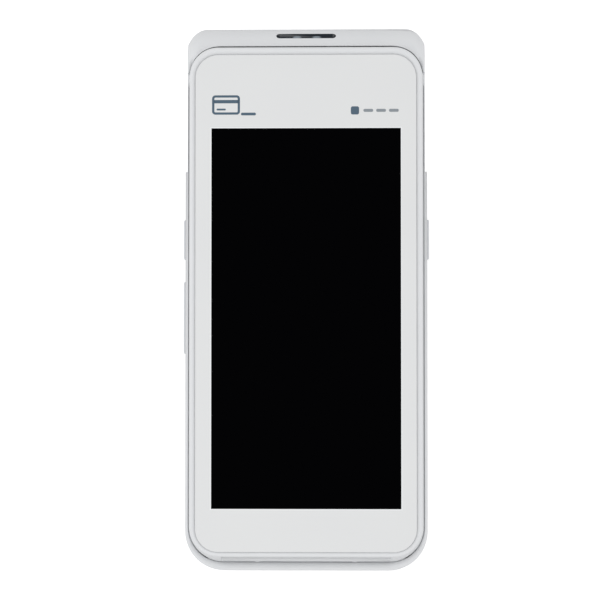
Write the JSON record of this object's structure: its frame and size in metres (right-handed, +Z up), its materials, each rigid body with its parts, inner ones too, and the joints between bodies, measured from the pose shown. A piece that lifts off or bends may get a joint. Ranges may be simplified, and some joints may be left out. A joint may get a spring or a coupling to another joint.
{
  "type": "card payment terminal",
  "caption": "Handheld card payment terminal with a tall touch display, chip-card slot, swipe slot and a receipt printer under a hinged rear cover.",
  "frame": {"origin": "bottom centre of the box around the terminal, lying on its back on its rubber feet", "axes": "+X to the terminal's right seen from the screen, +Y from the card-slot end to the printer head, +Z up"},
  "size_m": [0.082, 0.177, 0.0637],
  "materials": {
    "white_housing": "fine satin moulded polycarbonate blend",
    "white_keys": "satin moulded",
    "cover_glass": "polished, white printed border",
    "display_black": "switched-off display",
    "frame_metal": "bead-blasted",
    "steel": "brushed",
    "gold_contact": "gold-plated",
    "board_green": "solder mask",
    "black_plastic": "moulded",
    "dark_lens": "polished smoked",
    "light_pipe": "clear diffused",
    "nylon": "moulded nylon",
    "black_rubber": "ground",
    "grey_rubber": "moulded",
    "paper": "thermal paper",
    "cardboard": "kraft board",
    "battery_wrap": "printed film",
    "copper_film": "copper on film"
  },
  "bodies": {
    "housing": {"battery_contacts": "gold_contact", "battery_pack": "battery_wrap", "camera_module": "black_plastic", "camera_window": "dark_lens", "card_slot_lip": "white_housing", "charging_contacts": "gold_contact", "chip_card_reader": "black_plastic", "chip_contacts": "gold_contact", "coin_cell": "steel", "cover_glass": "cover_glass", "cover_hinge_pin": "steel", "display_panel": "display_black", "flash_lens": "light_pipe", "front_housing": "white_housing", "gear_plate": "steel", "housing_screws": "steel", "idler_axle": "steel", "key_switches": "black_plastic", "light_board": "board_green", "magstripe_spring": "steel", "main_board": "board_green", "mid_frame": "frame_metal", "nfc_antenna": "copper_film", "print_head_frame": "steel", "print_head_spring": "steel", "printer_motor": "steel", "rear_feet": "grey_rubber", "rear_housing": "white_housing", "shield_cans": "steel", "sim_socket": "steel", "speaker": "black_plastic", "status_light_pipes": "light_pipe", "status_light_window": "dark_lens", "tear_bar": "steel", "usb_c_shell": "steel", "usb_c_tongue": "black_plastic"},
    "power_key": {"power_key": "white_keys"},
    "function_key": {"function_key": "white_keys"},
    "volume_key": {"volume_key": "white_keys"},
    "printer_cover": {"printer_cover": "white_housing", "platen_bushes": "nylon"},
    "cover_release": {"cover_release": "white_keys"},
    "platen": {"platen_shaft": "steel", "platen_sleeve": "black_rubber", "platen_gear": "nylon"},
    "idler": {"idler_gear": "nylon"},
    "motor_rotor": {"motor_shaft": "steel", "motor_pinion": "gold_contact"},
    "receipt_roll": {"paper_roll": "paper", "paper_core": "cardboard"},
    "battery_cover": {"battery_cover": "white_housing"},
    "battery_latch": {"battery_latch": "white_keys"},
    "magstripe_head": {"magstripe_head": "steel"},
    "print_head": {"print_head": "frame_metal"}
  },
  "joints": [
    {"name": "power_key_press", "type": "slide", "parent": "housing", "child": "power_key", "axis": [-1, 0, 0], "range_m": [0, 0.0004], "stiffness_N_per_m": 900, "springref_m": -0.0006},
    {"name": "function_key_press", "type": "slide", "parent": "housing", "child": "function_key", "axis": [1, 0, 0], "range_m": [0, 0.0004], "stiffness_N_per_m": 900, "springref_m": -0.0006},
    {"name": "volume_key_press", "type": "slide", "parent": "housing", "child": "volume_key", "axis": [1, 0, 0], "range_m": [0, 0.0004], "stiffness_N_per_m": 900, "springref_m": -0.0006},
    {"name": "printer_cover_hinge", "type": "hinge", "parent": "housing", "child": "printer_cover", "pos_m": [0, 0.03454, 0.01227], "axis": [-1, 0, 0], "range_deg": [0, 95]},
    {"name": "cover_release_slide", "type": "slide", "parent": "printer_cover", "child": "cover_release", "axis": [0, -0.3214, -0.9469], "range_m": [0, 0.0015], "stiffness_N_per_m": 400, "springref_m": -0.0015},
    {"name": "platen_spin", "type": "hinge", "parent": "printer_cover", "child": "platen", "pos_m": [0, 0.07774, 0.04127], "axis": [1, 0, 0], "continuous": true},
    {"name": "idler_spin", "type": "hinge", "parent": "housing", "child": "idler", "pos_m": [0, 0.07189, 0.04999], "axis": [1, 0, 0], "continuous": true},
    {"name": "motor_spin", "type": "hinge", "parent": "housing", "child": "motor_rotor", "pos_m": [0, 0.06383, 0.05268], "axis": [1, 0, 0], "continuous": true},
    {"name": "receipt_roll_spin", "type": "hinge", "parent": "housing", "child": "receipt_roll", "pos_m": [0, 0.05538, 0.0241], "axis": [1, 0, 0], "continuous": true},
    {"name": "battery_cover_hinge", "type": "hinge", "parent": "housing", "child": "battery_cover", "pos_m": [0, -0.07637, 0.00177], "axis": [-1, 0, 0], "range_deg": [0, 70]},
    {"name": "battery_latch_slide", "type": "slide", "parent": "battery_cover", "child": "battery_latch", "axis": [0, -0.9679, -0.2514], "range_m": [0, 0.0025]},
    {"name": "magstripe_head_press", "type": "slide", "parent": "housing", "child": "magstripe_head", "axis": [0, 0.2514, -0.9679], "range_m": [0, 0.0004], "stiffness_N_per_m": 1000, "springref_m": -0.0006},
    {"name": "print_head_pivot", "type": "hinge", "parent": "housing", "child": "print_head", "pos_m": [0, 0.06853, 0.04653], "axis": [1, 0, 0], "range_deg": [0, 2], "stiffness_Nm_per_rad": 1, "springref_deg": -1.72}
  ],
  "couplings": [
    {"joint": "idler_spin", "follows": "platen_spin", "ratio": -0.90909},
    {"joint": "motor_spin", "follows": "platen_spin", "ratio": 1.6667}
  ]
}
